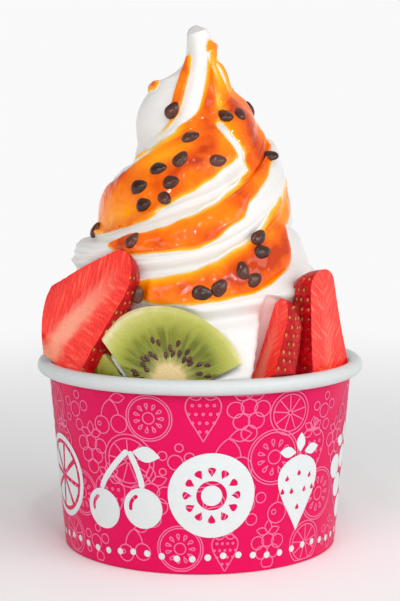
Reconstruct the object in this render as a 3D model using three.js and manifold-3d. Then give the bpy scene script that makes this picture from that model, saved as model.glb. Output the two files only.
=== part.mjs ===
// Frozen yogurt in a paper cup: a tall soft-serve swirl with three half strawberries and two
// pieces of kiwi slice standing in it. Millimetres, +Z up, origin at the middle of the cup's foot.
import * as THREE from 'three';
import { mergeVertices } from 'three/addons/utils/BufferGeometryUtils.js';
import Module from 'manifold-3d';

const wasm = await Module();
wasm.setup();

// Cup
const CUP_HEIGHT = 55;
const RIM_RADIUS = 48;
const ROLL_SECTION = 2.15; // radius of the rolled edge's round section
const WALL_TOP_RADIUS = 44.5; // outside, just under the roll
const WALL_FOOT_RADIUS = 40.2; // outside, at the foot
const WALL_THICKNESS = 1;
const FOOT_THICKNESS = 1.9; // the skirt, where the wall folds up round the base
const BASE_RECESS = 5;
const BASE_THICKNESS = 1;
const CUP_SIDES = 64;
const ROLL_STEPS = 8;
const ROLL_FROM = -60; // degrees round the roll's section, from outside under it to its inner side
const ROLL_TO = 180;

// Yogurt
const GAP = 0.3; // between pieces that touch
const MERGE_DISTANCE = 1e-4; // corners closer than this are one
const FILL_LEVEL = 52.6; // where the yogurt meets the wall
const FILL_OVERLAP = 1; // how far the fill is drawn into the wall before it is trimmed to the cup's room
const TIP_HEIGHT = 151.4;
const HEADROOM = 10; // free room above the tip
const TIP_X = -1.4;
const SWIRL_START = -1.5; // turns
const SWIRL_END = 5;
const STEPS_PER_TURN = 40;
const ROWS = [0, 0.08, 0.2, 0.38, 0.56, 0.72, 0.84, 0.93]; // share of the way up to the next turn's lip
const LIP_WIDTH = 1.9; // half width of the rounded lip along each turn's lower edge

// The lip of the ribbon, every quarter turn from SWIRL_START, so the rows run right, back, left, front.
// Bulge is how far the band above the lip swells, or sinks in where it is negative.
const LIPS = [
  { radius: 47.0, height: 34.0, bulge: 0.0 },
  { radius: 47.0, height: 40.0, bulge: 0.0 },
  { radius: 47.0, height: 44.0, bulge: 0.0 },
  { radius: 46.0, height: 47.0, bulge: 1.5 },
  { radius: 46.0, height: 49.0, bulge: 0.0 },
  { radius: 45.0, height: 51.0, bulge: 1.0 },
  { radius: 39.0, height: 67.0, bulge: 2.0 },
  { radius: 37.3, height: 73.5, bulge: 1.5 },
  { radius: 33.5, height: 78.5, bulge: -2.5 },
  { radius: 34.0, height: 84.0, bulge: 0.0 },
  { radius: 36.0, height: 83.5, bulge: 0.0 },
  { radius: 32.0, height: 87.5, bulge: 1.0 },
  { radius: 24.6, height: 108.5, bulge: 2.0 },
  { radius: 27.0, height: 103.0, bulge: 1.5 },
  { radius: 30.0, height: 90.5, bulge: 4.5 },
  { radius: 25.5, height: 101.0, bulge: 2.5 },
  { radius: 15.3, height: 120.5, bulge: 1.0 },
  { radius: 17.0, height: 118.0, bulge: 1.0 },
  { radius: 18.0, height: 116.5, bulge: 2.0 },
  { radius: 12.0, height: 123.0, bulge: 0.5 },
  { radius: 8.2, height: 132.0, bulge: -0.3 },
  { radius: 10.5, height: 133.0, bulge: -0.5 },
  { radius: 12.0, height: 135.0, bulge: -2.0 },
  { radius: 6.5, height: 138.0, bulge: -0.5 },
  { radius: 4.6, height: 141.0, bulge: 0.0 },
  { radius: 4.6, height: 144.0, bulge: 0.0 },
  { radius: 3.2, height: 146.5, bulge: 0.2 },
  { radius: 3.2, height: 148.0, bulge: 0.0 },
  { radius: 2.8, height: 149.0, bulge: 0.0 },
  { radius: 2.2, height: 150.0, bulge: 0.0 },
  { radius: 1.4, height: 151.0, bulge: 0.0 },
];
const LIPS_PER_TURN = 4;
const LIP_REACH = 1.6; // how far the lip stands out
const LIP_GROW = [-0.4, 0.1]; // turns between which the lip grows out of the level yogurt
const LIP_FADE = [2.3, 4.2]; // turns between which it fades out towards the tip
const TUCK_DEPTH = 1.7; // how far the band sinks in under the lip above it
const TUCK_BELOW = 3.4;
const TUCK_WIDTH = 2.2;
const AXIS_SHIFT_FROM = 100; // above this height the swirl's middle moves over to the tip's

// Strawberry halves: stem and tip are the ends of the berry, cut is the way the cut face looks, wide and
// deep are the half widths along the cut face and away from it. Taper is how much narrower the berry
// gets towards the tip, blunt the share of its length that rounds off the tip, and bare is how far in
// front of the face the yogurt is cleared away.
const BERRY_STEPS = 12;
const BERRY_SIDES = 24;
const SHOULDER = 0.22; // share of a berry's length that rounds off the stem end
const TAPER_FROM = 0.2;
const BERRIES = {
  strawberry_left: {
    stem: [-45, -15, 57.5], tip: [-18.8, -34.5, 86], cut: [-0.85, -0.45, 0.26], wide: 19.5, deep: 15,
    taper: 0.85, blunt: 0.14, bare: 9,
  },
  strawberry_front_right: {
    stem: [13, -32.5, 43], tip: [23, -34, 75.5], cut: [-0.965, -0.26, 0], wide: 11.5, deep: 10.5,
    taper: 0.6, blunt: 0.2, bare: 3,
  },
  strawberry_back_right: {
    stem: [38, -22.5, 43], tip: [33.8, -24, 82.5], cut: [0.88, -0.47, 0], wide: 12.5, deep: 12.5,
    taper: 0.55, blunt: 0.1, bare: 9,
  },
};

// Kiwi slices: core is the middle of the front face, face the way it looks, cuts are the straight
// knife cuts as [direction in degrees from the slice's right, distance from the core], bare as above.
const KIWI_SIDES = 40;
const KIWI_OVAL = 0.085; // the slices are this share longer one way
const KIWI_LONG_WAY = THREE.MathUtils.degToRad(150);
const KIWIS = {
  kiwi_front: {
    core: [-8.5, -41.2, 54], face: [-0.22, -0.965, 0.12], radius: 20.8, thick: 6,
    cuts: [[218, 8.6], [298, 4.7]], bare: 8,
  },
  kiwi_side: {
    core: [-27.8, -32.8, 44.5], face: [-0.6, -0.78, 0.06], radius: 17, thick: 4,
    cuts: [[48, 12.4], [123, 12.5]], bare: 6,
  },
};

const COLOURS = {
  paper: 0xe2006a, yogurt: 0xf5f3ef, strawberry: 0xe02b20, kiwi: 0xb9bd58,
};

function material(colour, roughness) {
  return new THREE.MeshStandardMaterial({ color: colour, roughness, metalness: 0 });
}

function solidOf(geometry) {
  const bare = geometry.index ? geometry : geometry.clone();
  bare.deleteAttribute('normal');
  bare.deleteAttribute('uv');
  const merged = mergeVertices(bare, MERGE_DISTANCE);
  return new wasm.Manifold(new wasm.Mesh({
    numProp: 3,
    vertProperties: new Float32Array(merged.attributes.position.array),
    triVerts: new Uint32Array(merged.index.array),
  }));
}

// Cutting can leave a loose sliver, so only the largest body is kept.
function largestBody(solid) {
  return solid.decompose().sort((a, b) => b.volume() - a.volume())[0];
}

function namedMesh(name, solid, colour, roughness) {
  const mesh = largestBody(solid).getMesh();
  const geometry = new THREE.BufferGeometry();
  geometry.setAttribute('position', new THREE.BufferAttribute(mesh.vertProperties, 3));
  geometry.setIndex(new THREE.BufferAttribute(mesh.triVerts, 1));
  geometry.computeVertexNormals();
  const piece = new THREE.Mesh(geometry, material(colour, roughness));
  piece.name = name;
  return piece;
}

// A profile of [radius, height] points turned round Z, anticlockwise points giving faces that look out.
function turned(points, sides) {
  const outline = points.map(([radius, height]) => new THREE.Vector2(radius, height));
  const geometry = new THREE.LatheGeometry(outline, sides);
  geometry.rotateX(Math.PI / 2);
  return solidOf(geometry);
}

function wallRadius(height) {
  const slope = (WALL_TOP_RADIUS - WALL_FOOT_RADIUS) / (CUP_HEIGHT - 2 * ROLL_SECTION);
  return WALL_FOOT_RADIUS + slope * height;
}

function insideRadius(height) {
  return wallRadius(height) - WALL_THICKNESS;
}

function cupWall() {
  const rollRadius = RIM_RADIUS - ROLL_SECTION;
  const rollHeight = CUP_HEIGHT - ROLL_SECTION;
  const footTop = BASE_RECESS - GAP;
  const points = [
    [WALL_FOOT_RADIUS, 0],
    [WALL_TOP_RADIUS, CUP_HEIGHT - 2 * ROLL_SECTION],
  ];
  for (let step = 0; step <= ROLL_STEPS; step += 1) {
    const angle = THREE.MathUtils.degToRad(ROLL_FROM + (step / ROLL_STEPS) * (ROLL_TO - ROLL_FROM));
    points.push([rollRadius + ROLL_SECTION * Math.cos(angle), rollHeight + ROLL_SECTION * Math.sin(angle)]);
  }
  points.push(
    [insideRadius(CUP_HEIGHT - 2 * ROLL_SECTION), CUP_HEIGHT - 2 * ROLL_SECTION],
    [insideRadius(footTop), footTop],
    [wallRadius(footTop) - FOOT_THICKNESS, footTop],
    [WALL_FOOT_RADIUS - FOOT_THICKNESS, 0],
    [WALL_FOOT_RADIUS, 0],
  );
  return turned(points, CUP_SIDES);
}

function cupBase() {
  const top = BASE_RECESS + BASE_THICKNESS;
  const points = [
    [0, BASE_RECESS],
    [insideRadius(BASE_RECESS) - GAP, BASE_RECESS],
    [insideRadius(top) - GAP, top],
    [0, top],
  ];
  return turned(points, CUP_SIDES);
}

// All the room the contents have: the inside of the cup, and freely above the rim.
function insideOfCup() {
  const bottom = BASE_RECESS + BASE_THICKNESS + GAP;
  const points = [
    [0, bottom],
    [insideRadius(bottom) - GAP, bottom],
    [insideRadius(CUP_HEIGHT - 2 * ROLL_SECTION) - GAP, CUP_HEIGHT - 2 * ROLL_SECTION],
    [RIM_RADIUS - 2 * ROLL_SECTION - 2 * GAP, CUP_HEIGHT - ROLL_SECTION],
    [RIM_RADIUS - 2 * ROLL_SECTION - GAP, CUP_HEIGHT],
    [RIM_RADIUS - GAP, CUP_HEIGHT + 2 * GAP],
    [RIM_RADIUS - GAP, TIP_HEIGHT + HEADROOM],
    [0, TIP_HEIGHT + HEADROOM],
  ];
  return turned(points, CUP_SIDES);
}

function fill() {
  const bottom = BASE_RECESS + BASE_THICKNESS + GAP;
  const points = [
    [0, bottom],
    [insideRadius(bottom) + FILL_OVERLAP, bottom],
    [insideRadius(FILL_LEVEL) + FILL_OVERLAP, FILL_LEVEL],
    [0, FILL_LEVEL],
  ];
  return turned(points, CUP_SIDES);
}

// A smooth curve through one column of the table of lips.
function atTurn(turn, key) {
  const place = (turn - SWIRL_START) * LIPS_PER_TURN;
  const last = LIPS.length - 1;
  const from = Math.min(Math.max(Math.floor(place), 0), last - 1);
  const share = Math.min(Math.max(place - from, 0), 1);
  const value = (index) => LIPS[Math.min(Math.max(index, 0), last)][key];
  const [before, start, end, after] = [value(from - 1), value(from), value(from + 1), value(from + 2)];
  const slopeIn = (end - before) / 2;
  const slopeOut = (after - start) / 2;
  const square = share * share;
  const cube = square * share;
  return start * (2 * cube - 3 * square + 1) + slopeIn * (cube - 2 * square + share)
    + end * (3 * square - 2 * cube) + slopeOut * (cube - square);
}

function lipPoint(turn) {
  return new THREE.Vector2(atTurn(turn, 'radius'), atTurn(turn, 'height'));
}

function lipReach(turn) {
  const start = THREE.MathUtils.smoothstep(turn, ...LIP_GROW);
  return LIP_REACH * start * (1 - THREE.MathUtils.smoothstep(turn, ...LIP_FADE));
}

// A point of the ribbon: turn says where along it, share how far up towards the next turn's lip.
function ribbonPoint(turn, share) {
  const low = lipPoint(turn);
  const high = lipPoint(turn + 1);
  const chord = high.clone().sub(low);
  const length = chord.length();
  const outward = new THREE.Vector2(chord.y, -chord.x).divideScalar(length);
  const lowLip = lipReach(turn) * Math.exp(-((share * length / LIP_WIDTH) ** 2));
  const highLip = lipReach(turn + 1) * Math.exp(-(((1 - share) * length / LIP_WIDTH) ** 2));
  const belowLip = ((1 - share) * length - TUCK_BELOW) / TUCK_WIDTH;
  const tuck = TUCK_DEPTH * Math.exp(-(belowLip ** 2)) * lipReach(turn + 1) / LIP_REACH;
  const swell = atTurn(turn, 'bulge') * Math.sin(Math.PI * share) - tuck;
  const place = low.lerp(high, share).addScaledVector(outward, lowLip + highLip + swell);
  const rise = Math.max(place.y - AXIS_SHIFT_FROM, 0) / (TIP_HEIGHT - AXIS_SHIFT_FROM);
  const angle = 2 * Math.PI * turn;
  return new THREE.Vector3(
    TIP_X * rise - place.x * Math.cos(angle),
    -place.x * Math.sin(angle),
    place.y,
  );
}

// The ribbon wound on itself: the last row of one turn is the first row of the turn above.
function swirl() {
  const rows = ROWS.length;
  const steps = (SWIRL_END - SWIRL_START) * STEPS_PER_TURN;
  const positions = [];
  const triangles = [];
  for (let step = 0; step <= steps; step += 1) {
    for (const share of ROWS) {
      positions.push(...ribbonPoint(SWIRL_START + step / STEPS_PER_TURN, share));
    }
  }
  const topRow = positions.length / 3;
  for (let step = steps - STEPS_PER_TURN + 1; step <= steps; step += 1) {
    positions.push(...ribbonPoint(SWIRL_START + step / STEPS_PER_TURN, 1));
  }
  const vertex = (step, row) => {
    if (row < rows) {
      return step * rows + row;
    }
    const above = step + STEPS_PER_TURN;
    return above <= steps ? above * rows : topRow + above - steps - 1;
  };
  for (let step = 0; step < steps; step += 1) {
    for (let row = 0; row < rows; row += 1) {
      const [a, b] = [vertex(step, row), vertex(step + 1, row)];
      const [c, d] = [vertex(step + 1, row + 1), vertex(step, row + 1)];
      triangles.push(a, b, c, a, c, d);
    }
  }
  const close = (loop, point) => {
    const hub = positions.length / 3;
    positions.push(...point);
    loop.forEach((from, index) => triangles.push(from, loop[(index + 1) % loop.length], hub));
  };
  const bottom = [];
  for (let row = 0; row < rows; row += 1) {
    bottom.push(vertex(0, row));
  }
  for (let step = STEPS_PER_TURN; step > 0; step -= 1) {
    bottom.push(vertex(step, 0));
  }
  close(bottom, [0, 0, LIPS[0].height]);
  const top = [vertex(steps, 0)];
  for (let step = steps - STEPS_PER_TURN + 1; step <= steps; step += 1) {
    top.push(vertex(step, rows));
  }
  for (let row = rows - 1; row > 0; row -= 1) {
    top.push(vertex(steps, row));
  }
  close(top, [TIP_X, 0, TIP_HEIGHT]);
  const geometry = new THREE.BufferGeometry();
  geometry.setAttribute('position', new THREE.Float32BufferAttribute(positions, 3));
  geometry.setIndex(triangles);
  return solidOf(geometry);
}

// Places a shape whose Z looks along forward and whose Y is as near up as it can be.
function placement(at, forward, up) {
  const z = new THREE.Vector3(...forward).normalize();
  const x = new THREE.Vector3(...up).cross(z).normalize();
  const y = z.clone().cross(x);
  return new THREE.Matrix4().makeBasis(x, y, z).setPosition(...at);
}

// Share runs from the stem end, with its round shoulder, to the blunt tip.
function berryRadius(share, taper, blunt) {
  const shoulder = Math.sqrt(1 - Math.max(1 - share / SHOULDER, 0) ** 2);
  const point = Math.sqrt(1 - Math.max((share - 1) / blunt + 1, 0) ** 2);
  return shoulder * point * (1 - taper * Math.max(share - TAPER_FROM, 0));
}

// Half a strawberry, lying along Y with its cut face looking along Z. Room grows it on every side, and
// ahead carries the cut face on forwards.
function berry({ stem, tip, cut, wide, deep, taper, blunt }, room, ahead) {
  const along = new THREE.Vector3(...tip).sub(new THREE.Vector3(...stem));
  const length = along.length();
  const direction = along.clone().normalize();
  const looks = new THREE.Vector3(...cut);
  looks.addScaledVector(direction, -looks.dot(direction));
  const matrix = placement(stem, looks.toArray(), direction.toArray());
  const side = [];
  for (let step = 1; step < BERRY_STEPS; step += 1) {
    const share = step / BERRY_STEPS;
    side.push(new THREE.Vector2(wide * berryRadius(share, taper, blunt) + room, share * length));
  }
  const ends = [new THREE.Vector2(0, -room), new THREE.Vector2(0, length + room)];
  const whole = new THREE.LatheGeometry([ends[0], ...side, ends[1]], BERRY_SIDES);
  whole.scale(1, 1, deep / wide);
  whole.applyMatrix4(matrix);
  const knife = new THREE.BoxGeometry(4 * length, 4 * length, 2 * length);
  knife.translate(0, 0, length + room);
  knife.applyMatrix4(matrix);
  const half = solidOf(whole).subtract(solidOf(knife));
  if (!ahead) {
    return half;
  }
  const mirrored = side.map((point) => new THREE.Vector2(-point.x, point.y)).reverse();
  const face = new THREE.Shape([ends[0], ...side, ends[1], ...mirrored]);
  const front = new THREE.ExtrudeGeometry(face, { depth: ahead + room, bevelEnabled: false });
  front.applyMatrix4(matrix);
  return half.add(solidOf(front));
}

// A slice of kiwi with straight knife cuts, its front face looking along Z.
function kiwi({ core, face, radius, thick, cuts }, room, ahead) {
  const outline = [];
  for (let side = 0; side < KIWI_SIDES; side += 1) {
    const angle = (side / KIWI_SIDES) * 2 * Math.PI;
    const reach = radius * (1 + KIWI_OVAL * Math.cos(2 * (angle - KIWI_LONG_WAY))) + room;
    outline.push(new THREE.Vector2(reach * Math.cos(angle), reach * Math.sin(angle)));
  }
  const geometry = new THREE.ExtrudeGeometry(new THREE.Shape(outline), {
    depth: thick + 2 * room + ahead, bevelEnabled: false,
  });
  geometry.translate(0, 0, -thick - room);
  const matrix = placement(core, face, [0, 0, 1]);
  geometry.applyMatrix4(matrix);
  let slice = solidOf(geometry);
  for (const [degrees, distance] of cuts) {
    const knife = new THREE.BoxGeometry(4 * radius, 4 * radius, 4 * radius);
    knife.translate(distance + room + 2 * radius, 0, 0);
    knife.rotateZ(THREE.MathUtils.degToRad(degrees));
    knife.applyMatrix4(matrix);
    slice = slice.subtract(solidOf(knife));
  }
  return slice;
}

const room = insideOfCup();
const group = new THREE.Group();
group.add(namedMesh('cup_wall', cupWall(), COLOURS.paper, 0.5));
group.add(namedMesh('cup_base', cupBase(), COLOURS.yogurt, 0.6));

// Each fruit is cut round the ones before it, and the yogurt round them all.
let yogurt = swirl().add(fill()).intersect(room);
let taken = null;
for (const [sizes, shape, colour] of [[KIWIS, kiwi, COLOURS.kiwi], [BERRIES, berry, COLOURS.strawberry]]) {
  for (const [name, size] of Object.entries(sizes)) {
    const grown = shape(size, GAP, 0);
    const piece = shape(size, 0, 0).intersect(room);
    group.add(namedMesh(name, taken ? piece.subtract(taken) : piece, colour, 0.3));
    taken = taken ? taken.add(grown) : grown;
    yogurt = yogurt.subtract(shape(size, GAP, size.bare));
  }
}
group.add(namedMesh('yogurt', yogurt, COLOURS.yogurt, 0.45));

export default group;
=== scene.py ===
import math
import random

import bpy
import numpy as np
from mathutils import Matrix, Vector


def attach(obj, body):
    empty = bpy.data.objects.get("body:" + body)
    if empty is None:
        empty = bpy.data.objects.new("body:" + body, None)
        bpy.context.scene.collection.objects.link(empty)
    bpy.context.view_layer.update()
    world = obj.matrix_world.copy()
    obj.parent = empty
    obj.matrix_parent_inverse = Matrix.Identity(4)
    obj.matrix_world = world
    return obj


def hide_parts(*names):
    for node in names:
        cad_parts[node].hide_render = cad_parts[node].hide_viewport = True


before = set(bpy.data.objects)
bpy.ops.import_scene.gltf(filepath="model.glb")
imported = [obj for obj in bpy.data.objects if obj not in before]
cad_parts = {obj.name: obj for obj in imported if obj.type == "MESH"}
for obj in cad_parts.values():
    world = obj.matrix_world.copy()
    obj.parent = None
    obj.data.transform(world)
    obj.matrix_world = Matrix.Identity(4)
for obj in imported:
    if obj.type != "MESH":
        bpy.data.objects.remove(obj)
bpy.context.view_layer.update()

MM = 0.001
TURN = 2 * math.pi
random.seed(11)

# Cup, in millimetres
CUP_HEIGHT = 55.0
RIM_RADIUS = 48.0
ROLL_SECTION = 2.15
WALL_TOP_RADIUS = 44.5
WALL_FOOT_RADIUS = 40.2
WALL_TOP = CUP_HEIGHT - 2 * ROLL_SECTION
SLEEVE_TOP = WALL_TOP + 1.5
WALL_THICKNESS = 1.0
SEAM_STEP = 0.3
BASE_RECESS = 5.0
BASE_THICKNESS = 1.0

# Camera, in metres, radians and millimetres of lens
CAMERA_DISTANCE = 0.4477
CAMERA_HEIGHT = 0.1229
CAMERA_PITCH = 0.1152
CAMERA_LENS = 91.3

# Swirl: the lip of the ribbon every quarter turn, starting inside the cup at the right, so the rows run
# right, back, left, front. Each row is radius, height and how far the band above the lip swells.
LIP_START = -1.5
LIPS = np.array([
    (47.0, 34.0, 0.0), (47.0, 40.0, 0.0),
    (47.0, 44.0, 0.0), (46.0, 47.0, 1.5), (46.0, 49.0, 0.0), (45.0, 51.0, 1.0),
    (39.0, 67.0, 2.0), (37.3, 72.8, 1.5), (33.5, 78.5, 0.0), (34.0, 84.0, 0.0),
    (36.0, 83.5, 4.5), (32.0, 87.5, 1.0), (22.9, 108.5, 4.0), (27.0, 103.0, 1.5),
    (29.0, 89.8, 4.2), (25.5, 101.5, 2.5), (15.3, 120.5, 2.2), (17.0, 118.0, 1.0),
    (17.2, 114.5, 3.4), (12.0, 123.0, 0.5), (8.2, 132.0, 0.9), (10.5, 133.0, -0.5),
    (12.0, 135.0, -3.2), (6.5, 138.0, -0.5), (5.0, 141.0, 0.8), (4.4, 144.0, 0.3),
    (3.0, 147.6, 1.0), (3.0, 149.2, 0.9), (2.8, 150.3, 0.8), (2.0, 151.1, 0.4), (0.3, 151.4, 0.0),
])
SWIRL_TURNS = 6.5
STEPS_PER_TURN = 280
ROWS = 36

# A lip stands out by its reach, with fine ridges near it; under it the band above is tucked in.
LIP_REACH = 1.6
LIP_WIDTH = 1.9
RIDGE_REACH = 4.5
TUCK_DEPTH = 1.7
TUCK_BELOW = 3.4
TUCK_WIDTH = 2.2

# The tip leans: the axis moves sideways from this height up to the tip.
TIP_X = -0.8
AXIS_SHIFT_FROM = 100.0
TIP_HEIGHT = 151.4

# The sauce's depth in the pools, the depth value at which its sheet ends and the sheet's thickness.
SAUCE_DEPTH = 1.25
SAUCE_EDGE = -0.28
SAUCE_SHEET = 0.6

# Folds raised or sunk on the swirl: places as (turn round the axis, height), then height and width.
FOLDS = {
    "cone": ([(0.09, 113), (0.13, 116.5), (0.17, 120.5), (0.205, 124.5), (0.225, 129), (0.24, 133),
              (0.255, 137.5), (0.265, 141.5), (0.25, 146)], 1.3, 2.5),
    "curl": ([(0.31, 107.5), (0.338, 110.5), (0.345, 114.4), (0.337, 117.3), (0.326, 120), (0.318, 122)],
             1.3, 1.1),
    "notch": ([(0.42, 91), (0.5, 93.5), (0.56, 95)], -2.6, 2.0),
}

# Fruit, as in the frame: where it stands, which way it looks and how large it is. A berry's pocket is how
# far the yogurt behind it stays off, bare is how far it is cleared in front of the cut, and core is how pale
# the middle of the cut is. A kiwi slice's cuts are its straight sides: the way each looks, in degrees, and
# how far it is from the core.
BERRIES = {
    "strawberry_left": dict(stem=(-45, -15, 57.5), tip=(-18.8, -34.5, 86), cut=(-0.85, -0.45, 0.26),
                            wide=19.5, deep=15.0, taper=0.85, blunt=0.14, pocket=3.0, bare=16, core=0.7),
    "strawberry_front_right": dict(stem=(13, -32.5, 43), tip=(23, -34, 75.5), cut=(-0.965, -0.26, 0.0),
                                   wide=11.5, deep=10.5, taper=0.6, blunt=0.2, pocket=5.0, bare=0, core=0.5),
    "strawberry_back_right": dict(stem=(38, -22.5, 43), tip=(33.8, -24, 82.5), cut=(0.88, -0.47, 0.0),
                                  wide=12.5, deep=12.5, taper=0.55, blunt=0.1, pocket=4.0, bare=0, core=0.15),
}
KIWIS = {
    "kiwi_front": dict(core=(-8.5, -41.2, 54), face=(-0.22, -0.965, 0.12), radius=20.8, thick=6.0,
                       cuts=((218, 8.6), (298, 4.7))),
    "kiwi_side": dict(core=(-27.8, -32.8, 44.5), face=(-0.6, -0.78, 0.06), radius=17.0, thick=4.0,
                      cuts=((48, 12.4), (123, 12.5))),
}
SHOULDER = 0.22
TAPER_FROM = 0.2
BERRY_SEED_ROWS = 15
BERRY_SEED_GAP = 2.5
KIWI_OVAL = 0.085
KIWI_OVAL_WAY = math.radians(150)
KIWI_CLEARS = 14.0

# Fruit stays this far off the inside of the wall and, above the rim, within this radius.
FRUIT_GAP = 0.4
OVER_RIM_RADIUS = 48.4
OVER_RIM_HEIGHTS = (53.2, 58.0)
KIWI_SEEDS = 48
KIWI_SEED_RINGS = (7.4, 9.0, 10.8)


# ---------------------------------------------------------------- shader helpers

class Wire:
    """One value running through a shader; arithmetic on it adds Math nodes."""

    def __init__(self, paint, socket):
        self.paint = paint
        self.socket = socket

    def maths(self, operation, *values):
        return self.paint.node("ShaderNodeMath", {"operation": operation}, *values)

    def __add__(self, other):
        return self.maths("ADD", self, other)

    def __sub__(self, other):
        return self.maths("SUBTRACT", self, other)

    def __rsub__(self, other):
        return self.maths("SUBTRACT", other, self)

    def __mul__(self, other):
        return self.maths("MULTIPLY", self, other)

    def __truediv__(self, other):
        return self.maths("DIVIDE", self, other)

    def __pow__(self, other):
        return self.maths("POWER", self, other)

    __radd__ = __add__
    __rmul__ = __mul__

    def __abs__(self):
        return self.maths("ABSOLUTE", self)

    def above(self, low, high):
        """0 below low, 1 above high and a smooth step between."""
        settings = {"interpolation_type": "SMOOTHSTEP"}
        return self.paint.node("ShaderNodeMapRange", settings, self, low, high, 0.0, 1.0)


class Paint:
    """A node material of one Principled shader."""

    def __init__(self, name, **sockets):
        self.material = bpy.data.materials.new(name)
        self.material.use_nodes = True
        self.tree = self.material.node_tree
        self.shader = self.tree.nodes["Principled BSDF"]
        for socket, value in sockets.items():
            self.set(socket, value)

    def set(self, socket, value):
        self.plug(self.shader.inputs[socket.replace("_", " ")], value)

    def plug(self, socket, value):
        if isinstance(value, Wire):
            self.tree.links.new(value.socket, socket)
        else:
            socket.default_value = value

    def node(self, kind, settings, *values, out=0):
        """Adds a node; the stops of a ramp are given from left to right."""
        node = self.tree.nodes.new(kind)
        for key, value in settings.items():
            if key == "stops":
                for place, _ in value[2:]:
                    node.color_ramp.elements.new(place)
                for element, (place, colour) in zip(node.color_ramp.elements, value):
                    element.position = place
                    element.color = (*colour, 1)
            else:
                setattr(node, key, value)
        for socket, value in zip(node.inputs, values):
            if value is not None:
                self.plug(socket, value)
        return Wire(self, node.outputs[out])

    def place(self):
        """Object coordinates."""
        return self.node("ShaderNodeTexCoord", {}, out=3)

    def attribute(self, name, out=1):
        return self.node("ShaderNodeAttribute", {"attribute_name": name}, out=out)

    def split(self, vector):
        node = self.tree.nodes.new("ShaderNodeSeparateXYZ")
        self.plug(node.inputs[0], vector)
        return [Wire(self, output) for output in node.outputs]

    def join(self, x, y, z):
        return self.node("ShaderNodeCombineXYZ", {}, x, y, z)

    def noise(self, vector, scale, detail=2.0):
        return self.node("ShaderNodeTexNoise", {}, vector, None, scale, detail)

    def ramp(self, factor, *stops):
        return self.node("ShaderNodeValToRGB", {"stops": stops}, factor)

    def mix(self, factor, first, second):
        node = self.tree.nodes.new("ShaderNodeMix")
        node.data_type = "RGBA"
        for socket, value in ((node.inputs[0], factor), (node.inputs[6], first), (node.inputs[7], second)):
            if isinstance(value, tuple):
                value = (*value, 1)
            self.plug(socket, value)
        return Wire(self, node.outputs[2])

    def bump(self, height, distance, strength=1.0):
        node = self.tree.nodes.new("ShaderNodeBump")
        node.inputs["Strength"].default_value = strength
        node.inputs["Distance"].default_value = distance
        self.plug(node.inputs["Height"], height)
        self.set("Normal", Wire(self, node.outputs[0]))


# ---------------------------------------------------------------- modelling helpers

def clear_selection():
    if bpy.context.object and bpy.context.object.mode != "OBJECT":
        bpy.ops.object.mode_set(mode="OBJECT")
    bpy.ops.object.select_all(action="DESELECT")


def take(piece):
    """Makes piece the only selected object."""
    clear_selection()
    piece.select_set(True)
    bpy.context.view_layer.objects.active = piece
    return piece


def settle(piece, name):
    """Names the piece and puts its place into its mesh."""
    take(piece)
    bpy.ops.object.transform_apply(location=True, rotation=True, scale=True)
    piece.name = name
    piece.data.name = name
    return piece


def points(piece):
    co = np.empty(len(piece.data.vertices) * 3)
    piece.data.vertices.foreach_get("co", co)
    return co.reshape(-1, 3)


def set_points(piece, co):
    piece.data.vertices.foreach_set("co", np.asarray(co, float).ravel())
    piece.data.update()


def edit(piece):
    """Opens the piece in edit mode with all of it selected."""
    take(piece)
    bpy.ops.object.mode_set(mode="EDIT")
    bpy.ops.mesh.select_all(action="SELECT")


def finish_faces(piece, angle=None, merge=None):
    """Merges doubles, turns the faces outwards and shades them smooth, but for edges over the angle."""
    edit(piece)
    if merge:
        bpy.ops.mesh.remove_doubles(threshold=merge)
    bpy.ops.mesh.normals_make_consistent(inside=False)
    bpy.ops.object.mode_set(mode="OBJECT")
    bpy.ops.object.shade_smooth()
    if angle:
        bpy.ops.object.shade_smooth_by_angle(angle=math.radians(angle))
    return piece


def fill_open_edges(piece):
    edit(piece)
    bpy.ops.mesh.fill_holes(sides=0)
    bpy.ops.object.mode_set(mode="OBJECT")


def delete_faces(piece, unwanted):
    """Deletes the faces for which unwanted is true."""
    edit(piece)
    bpy.ops.mesh.select_mode(type="FACE")
    bpy.ops.mesh.select_all(action="DESELECT")
    bpy.ops.object.mode_set(mode="OBJECT")
    piece.data.polygons.foreach_set("select", unwanted)
    bpy.ops.object.mode_set(mode="EDIT")
    bpy.ops.mesh.delete(type="FACE")
    bpy.ops.object.mode_set(mode="OBJECT")


def apply_modifier(piece, kind, **settings):
    take(piece)
    modifier = piece.modifiers.new(kind.lower(), kind)
    for key, value in settings.items():
        setattr(modifier, key, value)
    bpy.ops.object.modifier_apply(modifier=modifier.name)


def slice_off(piece, place, normal):
    """Cuts away what lies on the normal's side of a plane and closes the cut."""
    edit(piece)
    bpy.ops.mesh.bisect(plane_co=place, plane_no=normal, clear_outer=True, use_fill=True)
    bpy.ops.object.mode_set(mode="OBJECT")


def join(pieces, name):
    clear_selection()
    for piece in pieces:
        piece.select_set(True)
    bpy.context.view_layer.objects.active = pieces[0]
    bpy.ops.object.join()
    return settle(bpy.context.object, name)


def copy_at(piece, co):
    """A copy of the piece with its own mesh, its points at co, in millimetres."""
    copy = piece.copy()
    copy.data = piece.data.copy()
    bpy.context.collection.objects.link(copy)
    set_points(copy, co * MM)
    return copy


def join_copies(pattern, copies, name):
    """Joins the copies and takes away the pattern that they were made from."""
    bpy.data.objects.remove(pattern)
    return finish_faces(join(copies, name))


def keep_local(piece, local):
    """Keeps the piece's own coordinates, in millimetres, for its paint."""
    layer = piece.data.attributes.new("local", "FLOAT_VECTOR", "POINT")
    layer.data.foreach_set("vector", local.ravel())


def dress(piece, paint, slot, *nodes):
    """Gives a finished piece its material and its body, and hides the nodes it stands for."""
    piece.data.materials.clear()
    piece.data.materials.append(paint.material)
    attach(piece, "root")
    if nodes:
        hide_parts(*nodes)
    return piece


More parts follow.
